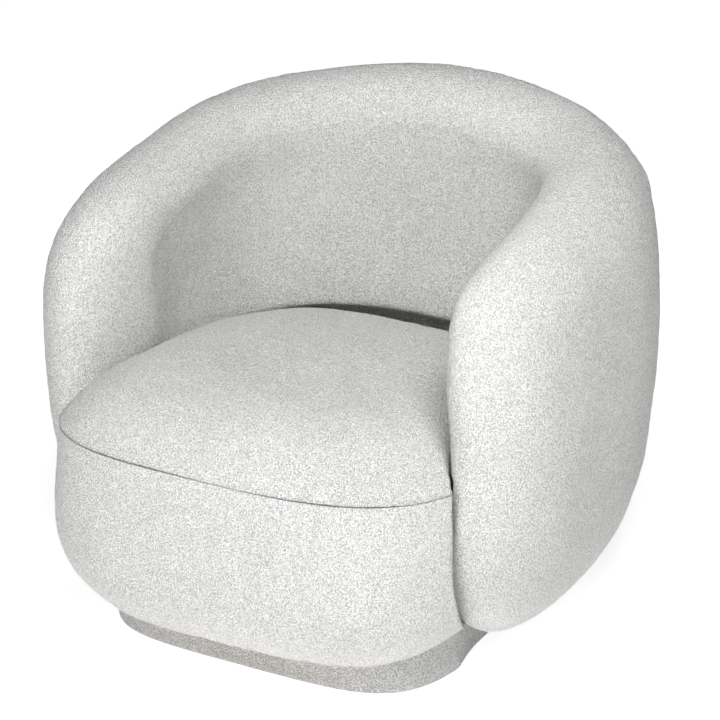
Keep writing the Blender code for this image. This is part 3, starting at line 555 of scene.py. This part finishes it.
def roughen(piece):
    """Push points along their normals: a soft swell in the padding and the nap of the yarn.

    The open edges stay put, so that neighbouring covers still meet, and the push fades out
    near the floor.
    """
    mesh = piece.data
    count = len(mesh.vertices)
    place, normal = np.zeros(count * 3), np.zeros(count * 3)
    mesh.vertices.foreach_get("co", place)
    mesh.vertices.foreach_get("normal", normal)
    place, normal = place.reshape(-1, 3), normal.reshape(-1, 3)
    push = np.zeros(count)
    for size, amount in RELIEF:
        push += amount * np.array([noise.noise(Vector(p) / size) for p in place])
    push *= edge_distance(mesh, place) / ROUGHEN_FADE
    push *= np.clip(place[:, 2] / ROUGHEN_FADE, 0, 1)
    mesh.vertices.foreach_set("co", (place + normal * push[:, None]).ravel())
    mesh.update()


# ---------------------------------------------------------------- materials
class Finish:
    """A Principled material whose pattern is laid out in the object's own metres."""

    def __init__(self, name, roughness, **sockets):
        self.material = bpy.data.materials.new(name)
        self.material.use_nodes = True
        self.nodes = self.material.node_tree.nodes
        self.links = self.material.node_tree.links
        self.shader = self.nodes["Principled BSDF"]
        self.shader.inputs["Roughness"].default_value = roughness
        for socket, value in sockets.items():
            self.shader.inputs[socket.replace("_", " ")].default_value = value
        self.place = self.nodes.new("ShaderNodeTexCoord").outputs["Object"]

    def add(self, kind, links=(), operation=None, **values):
        """New node; values go on its inputs by name and links is (input, source) pairs."""
        node = self.nodes.new("ShaderNode" + kind)
        if operation:
            node.operation = operation
        for socket, value in values.items():
            node.inputs[socket.replace("_", " ")].default_value = value
        for socket, source in links:
            self.links.new(source, node.inputs[socket])
        return node

    def noise(self, scale, detail=1.0, source=None):
        return self.add("TexNoise", [("Vector", source or self.place)],
                        Scale=scale, Detail=detail).outputs["Fac"]

    def stretched(self, scale):
        """The place scaled by a different amount along each axis."""
        node = self.add("VectorMath", [(0, self.place)], "MULTIPLY")
        node.inputs[1].default_value = scale
        return node.outputs[0]

    def fit(self, value, low, high, to_low=0.0, to_high=1.0):
        return self.add("MapRange", [("Value", value)], From_Min=low, From_Max=high,
                        To_Min=to_low, To_Max=to_high).outputs["Result"]

    def sum(self, first, share, second):
        """first * share + second, where share may be a number or a socket."""
        node = self.add("Math", [(0, first), (2, second)], "MULTIPLY_ADD")
        if isinstance(share, float):
            node.inputs[1].default_value = share
        else:
            self.links.new(share, node.inputs[1])
        return node.outputs[0]

    def ramp(self, value, *stops):
        node = self.add("ValToRGB", [("Fac", value)])
        elements = node.color_ramp.elements
        while len(elements) < len(stops):
            elements.new(0.5)
        for element, (position, colour) in zip(elements, stops):
            element.position = position
            element.color = (*colour, 1)
        return node.outputs["Color"]

    def blend(self, share, first, second):
        node = self.nodes.new("ShaderNodeMix")
        node.data_type = "RGBA"
        self.links.new(share, node.inputs["Factor"])
        for socket, value in (("A", first), ("B", second)):
            if isinstance(value, tuple):
                node.inputs[socket].default_value = (*value, 1)
            else:
                self.links.new(value, node.inputs[socket])
        return node.outputs["Result"]

    def tint(self, colour, amount):
        """A colour made lighter or darker by a number."""
        return self.add("VectorMath", [(0, colour), ("Scale", amount)], "SCALE").outputs[0]

    def surface(self, colour, height, strength, distance):
        self.links.new(colour, self.shader.inputs["Base Color"])
        bump = self.add("Bump", [("Height", height)], Strength=strength, Distance=distance)
        self.links.new(bump.outputs["Normal"], self.shader.inputs["Normal"])
        return self.material


def boucle():
    """Curly looped yarn in off-white: short bright curls, pits darkened with painted shade and
    a few warm flecks.
    """
    f = Finish("boucle_cream", 0.95, Sheen_Weight=0.10, Sheen_Roughness=0.6,
               Specular_IOR_Level=0.15)
    wander = f.add("TexNoise", [("Vector", f.place)], Scale=YARN_SCALE * 0.7, Detail=1.0)
    bend = f.add("VectorMath", [(0, wander.outputs["Color"]), (2, f.place)], "MULTIPLY_ADD")
    bend.inputs[1].default_value = (YARN_BEND,) * 3
    loops = f.add("TexVoronoi", [("Vector", bend.outputs[0])], Scale=YARN_SCALE)
    humps = f.fit(loops.outputs["Distance"], 0.1, 0.8, 1.0, 0.0)
    curl = f.noise(YARN_SCALE * 0.8, 0.0)
    away = f.add("Math", [(0, curl)], "SUBTRACT")
    away.inputs[1].default_value = 0.5
    fold = f.add("Math", [(0, away.outputs[0])], "ABSOLUTE")
    groove = f.fit(fold.outputs[0], 0.0, 0.12, 0.0, 1.0)
    fuzz = f.noise(YARN_SCALE * 2.4, 1.0)
    height = f.sum(groove, 0.6, f.sum(fuzz, 0.3, humps))
    # painted shade: the pits between the curls get a darker colour, from the same heights as
    # the bump
    colour = f.ramp(f.fit(height, *YARN_SPREAD, 0.0, 1.0),
                    (0.0, YARN_PIT_SHADE), (1.0, YARN_COLOUR))
    colour = f.tint(colour, f.fit(f.noise(9.0, 2.0), 0.3, 0.7, 0.97, 1.03))
    fleck = f.fit(f.noise(YARN_SCALE * 0.9, 0.0), 0.72, 0.80, 0.0, 0.35)
    colour = f.blend(fleck, colour, YARN_FLECK)
    return f.surface(colour, height, YARN_BUMP, YARN_RELIEF)


def timber():
    """Planed beech, with long grain up and down, rings and pores."""
    f = Finish("planed_beech", 0.55, Specular_IOR_Level=0.3)
    along = f.stretched((1.0, 1.0, 0.06))
    rings = f.noise(90.0, 3.0, along)
    pores = f.noise(900.0, 1.0, along)
    colour = f.ramp(f.sum(pores, 0.25, rings), (0.35, (0.40, 0.25, 0.13)),
                    (0.60, (0.60, 0.42, 0.25)), (0.85, (0.70, 0.53, 0.34)))
    return f.surface(colour, f.sum(pores, 0.6, rings), 0.35, 0.0004)


def plywood():
    """Birch ply: pale faces with wild grain and darker glue lines at the edges."""
    f = Finish("birch_plywood", 0.5, Specular_IOR_Level=0.3)
    grain = f.noise(70.0, 4.0, f.stretched((0.12, 1.0, 1.0)))
    plies = f.add("TexWave", [("Vector", f.place)], Scale=110.0, Distortion=0.4)
    plies.bands_direction = "Z"
    face = f.ramp(grain, (0.3, (0.52, 0.38, 0.22)), (0.75, (0.76, 0.62, 0.42)))
    colour = f.blend(f.fit(plies.outputs["Fac"], 0.6, 1.0, 0.0, 0.35), face,
                     (0.34, 0.21, 0.11))
    return f.surface(colour, grain, 0.3, 0.0003)


def metal(name, dark, light, roughness, scratch):
    """Bare or plated metal with drawn scratches and dull patches."""
    f = Finish(name, roughness, Metallic=1.0)
    lines = f.noise(700.0, 2.0, f.stretched((1.0, 1.0, 0.08)))
    patches = f.noise(120.0, 3.0)
    f.links.new(f.fit(patches, 0.3, 0.7, roughness - 0.08, roughness + 0.16),
                f.shader.inputs["Roughness"])
    colour = f.ramp(f.sum(lines, 0.4, patches), (0.4, dark), (0.95, light))
    return f.surface(colour, lines, scratch, 0.0001)


def cloth(name, dark, light, pitch, roughness):
    """Thin non-woven cloth or felt: pressed fibres with a faint pressed pattern."""
    f = Finish(name, roughness, Sheen_Weight=0.1, Specular_IOR_Level=0.2)
    fibres = f.noise(800.0, 3.0)
    cells = f.add("TexVoronoi", [("Vector", f.place)], Scale=1.0 / pitch)
    pressed = f.fit(cells.outputs["Distance"], 0.1, 0.6)
    height = f.sum(fibres, 0.6, pressed)
    colour = f.ramp(f.sum(fibres, 0.7, f.fit(pressed, 0.0, 1.0, 0.0, 0.3)),
                    (0.3, dark), (0.85, light))
    return f.surface(colour, height, 0.6, 0.0006)


def nylon():
    """Moulded black nylon with a fine spark-eroded grain and scuffs."""
    f = Finish("nylon_black", 0.45, Specular_IOR_Level=0.45)
    grain = f.noise(1500.0, 1.0)
    scuffs = f.noise(160.0, 4.0)
    f.links.new(f.fit(scuffs, 0.35, 0.7, 0.35, 0.6), f.shader.inputs["Roughness"])
    colour = f.ramp(scuffs, (0.35, (0.02, 0.02, 0.021)), (0.8, (0.075, 0.074, 0.072)))
    return f.surface(colour, grain, 0.4, 0.0001)


def foam(name):
    """Open-cell foam, used where a pad's core would show."""
    f = Finish(name, 0.9, Specular_IOR_Level=0.2)
    cells = f.add("TexVoronoi", [("Vector", f.place)], Scale=900.0)
    open_cells = f.fit(cells.outputs["Distance"], 0.0, 0.7)
    colour = f.ramp(open_cells, (0.1, (0.60, 0.54, 0.38)), (0.8, (0.85, 0.80, 0.62)))
    return f.surface(colour, open_cells, 0.6, 0.0006)


# ---------------------------------------------------------------- stage, lights and camera
def build_stage():
    bpy.ops.mesh.primitive_plane_add(size=FLOOR_SIZE, location=(0, 0, 0))
    floor = bpy.context.active_object
    floor.name = "floor"
    sweep = Finish("floor_pale", 0.8, Base_Color=(0.93, 0.93, 0.93, 1),
                   Emission_Color=(1, 1, 1, 1))
    away = sweep.add("VectorMath", [(0, sweep.place)], "LENGTH").outputs["Value"]
    sweep.links.new(sweep.fit(away, *FLOOR_SWEEP, *FLOOR_GLOW),
                    sweep.shader.inputs["Emission Strength"])
    floor.data.materials.append(sweep.material)
    world = bpy.data.worlds.new("studio")
    world.use_nodes = True
    world.node_tree.nodes["Background"].inputs["Color"].default_value = (1, 1, 1, 1)
    world.node_tree.nodes["Background"].inputs["Strength"].default_value = SKY
    bpy.context.scene.world = world
    for name, place, size, power in LIGHTS:
        light = bpy.data.lights.new(name, "AREA")
        light.shape = "RECTANGLE"
        light.size, light.size_y = size
        light.energy = power
        obj = bpy.data.objects.new(name, light)
        obj.location = place
        obj.rotation_euler = (LIGHT_AIM - Vector(place)).to_track_quat("-Z", "Y").to_euler()
        bpy.context.scene.collection.objects.link(obj)


def build_camera():
    data = bpy.data.cameras.new("camera")
    data.lens = CAMERA_LENS
    data.sensor_width = CAMERA_SENSOR
    data.shift_x, data.shift_y = CAMERA_SHIFT
    camera = bpy.data.objects.new("camera", data)
    flat = math.cos(CAMERA_ELEVATION)
    way = Vector((math.sin(CAMERA_AZIMUTH) * flat, -math.cos(CAMERA_AZIMUTH) * flat,
                  math.sin(CAMERA_ELEVATION)))
    camera.location = CAMERA_TARGET + way * CAMERA_DISTANCE
    camera.rotation_euler = (-way).to_track_quat("-Z", "Y").to_euler()
    bpy.context.scene.collection.objects.link(camera)
    bpy.context.scene.camera = camera
    bpy.context.scene.view_settings.view_transform = "Standard"


build_stage()
build_camera()
finishes = {
    "boucle": boucle(),
    "timber": timber(),
    "plywood": plywood(),
    "spring_steel": metal("spring_steel", (0.12, 0.12, 0.125), (0.36, 0.36, 0.37), 0.38, 0.3),
    "zinc": metal("zinc_plate", (0.50, 0.51, 0.52), (0.80, 0.81, 0.82), 0.3, 0.15),
    "felt": cloth("felt_grey", (0.22, 0.22, 0.22), (0.46, 0.45, 0.44), 0.006, 0.95),
    "dust_cloth": cloth("dust_cloth_black", (0.012, 0.012, 0.013), (0.05, 0.05, 0.052),
                        0.0016, 0.85),
    "nylon": nylon(),
    "foam": foam("foam_cream"),
}
for part in frame["record"]["subparts"]:
    mesh = frame["nodes"][part["node"]].data
    mesh.materials.clear()
    mesh.materials.append(finishes[part["material_slot"]])

inside, outside = build_wrap()
drum, crown = build_seat()
plinth = build_plinth()
for piece, nodes, fill in (
    (inside, ("inside_back_cover", "inside_back_foam"), 0.9),
    (outside, ("outside_back_cover", "outside_back_foam"), 0.9),
    (drum, ("seat_boxing_cover", "seat_side_foam"), 0.95),
    (crown, ("seat_top_cover", "seat_foam"), 0.85),
    (plinth, ("plinth_cover", "plinth_foam"), 1.0),
):
    roughen(piece)
    piece.data.materials.append(finishes["boucle"])
    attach(piece, BODY)
    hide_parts(*nodes)
